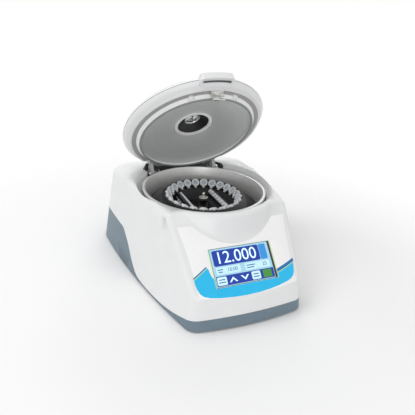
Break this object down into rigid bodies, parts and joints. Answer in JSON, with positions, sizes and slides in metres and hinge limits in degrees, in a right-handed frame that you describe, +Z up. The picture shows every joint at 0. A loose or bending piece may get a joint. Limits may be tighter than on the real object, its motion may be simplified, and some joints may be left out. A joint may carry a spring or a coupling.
{
  "type": "microcentrifuge",
  "caption": "Benchtop microcentrifuge with a hinged round lid standing open over a steel bowl, an angled tube rotor, and a sloped control panel with a display.",
  "frame": {"origin": "on the bench, at the middle of the bounding box's bottom", "axes": "+Z up, +X to the operator's right, -Y towards the operator; the sloped panel faces -Y"},
  "size_m": [0.2746, 0.3644, 0.3115],
  "materials": {
    "shell_plastic": "satin near-white moulded plastic",
    "tray_plastic": "fine-grained blue-grey plastic",
    "overlay_film": "printed film, satin",
    "display_glass": "clear glass over a dark blue display",
    "bowl_steel": "brushed stainless steel",
    "dish_steel": "polished stainless steel",
    "bracket_steel": "zinc-plated steel",
    "screw_steel": "bright plated steel",
    "nut_steel": "bright turned steel",
    "core_iron": "laminated iron and windings",
    "sink_aluminium": "plain aluminium",
    "rotor_black": "black anodised aluminium",
    "dark_plastic": "black plastic",
    "board_green": "solder mask",
    "plate_plastic": "mid-grey plastic",
    "ring_plastic": "light plastic",
    "rubber_grey": "grey silicone rubber",
    "rubber_black": "black rubber",
    "window_chrome": "bright ring",
    "window_clear": "clear",
    "tube_clear": "translucent polypropylene",
    "cap_clear": "translucent polypropylene"
  },
  "bodies": {
    "housing": {"base_tray": "tray_plastic", "upper_housing": "shell_plastic", "panel_overlay": "overlay_film", "display_glass": "display_glass", "display_frame": "dark_plastic", "display_module": "dark_plastic", "display_board": "board_green", "chamber_bowl": "bowl_steel", "bowl_gasket": "rubber_grey", "shaft_boot": "rubber_black", "motor_plate": "bracket_steel", "rubber_dampers": "rubber_black", "motor_screws": "screw_steel", "motor_can": "bracket_steel", "motor_bearings": "screw_steel", "motor_stator": "core_iron", "hinge_brackets": "bracket_steel", "hinge_pins": "screw_steel", "hinge_springs": "screw_steel", "bracket_screws": "screw_steel", "lock_guide": "dark_plastic", "lock_solenoid": "core_iron", "main_board": "board_green", "board_standoffs": "dark_plastic", "transformer": "core_iron", "heat_sink": "sink_aluminium", "capacitors": "dark_plastic", "mains_inlet": "dark_plastic", "switch_frame": "dark_plastic", "rubber_feet": "rubber_black", "foot_screws": "screw_steel", "housing_screws": "screw_steel"},
    "lid": {"lid_shell": "shell_plastic", "lid_plate": "plate_plastic", "lid_ring": "ring_plastic", "lid_seal": "rubber_grey", "lid_dish": "dish_steel", "dish_grommet": "ring_plastic", "eye_cup": "rubber_black", "window_ring": "window_chrome", "sight_window": "window_clear", "lid_handle": "shell_plastic", "hinge_arms": "bracket_steel", "lid_striker": "bracket_steel"},
    "rotor_group": {"rotor": "rotor_black", "motor_shaft": "screw_steel", "motor_armature": "core_iron", "sample_tubes": "tube_clear", "tube_caps": "cap_clear", "strip_tubes": "tube_clear"},
    "washer": {"nut_washer": "screw_steel"},
    "nut": {"rotor_nut": "nut_steel"},
    "bolt": {"lock_bolt": "screw_steel"},
    "rocker": {"switch_rocker": "dark_plastic"}
  },
  "joints": [
    {"name": "lid_hinge", "type": "hinge", "parent": "housing", "child": "lid", "pos_m": [0, 0.1019, 0.119], "axis": [1, 0, 0], "range_deg": [0, 50.3], "stiffness_Nm_per_rad": 0.45, "springref_deg": -74.48},
    {"name": "rotor_spin", "type": "hinge", "parent": "housing", "child": "rotor_group", "pos_m": [0, 0.0045, 0.05], "axis": [0, 0, 1], "continuous": true},
    {"name": "nut_lift", "type": "slide", "parent": "rotor_group", "child": "washer", "axis": [0, 0, 1], "range_m": [0, 0.005]},
    {"name": "nut_turn", "type": "hinge", "parent": "washer", "child": "nut", "pos_m": [0, 0.0045, 0.1], "axis": [0, 0, 1], "range_deg": [0, 1800]},
    {"name": "lock_slide", "type": "slide", "parent": "housing", "child": "bolt", "axis": [-1, 0, 0], "range_m": [0, 0.008], "stiffness_N_per_m": 30, "springref_m": -0.004},
    {"name": "switch_rock", "type": "hinge", "parent": "housing", "child": "rocker", "pos_m": [0.014, 0.1685, 0.036], "axis": [1, 0, 0], "range_deg": [-14, 0]}
  ],
  "couplings": [
    {"joint": "nut_turn", "follows": "nut_lift", "rad_per_m": 6283.2}
  ]
}
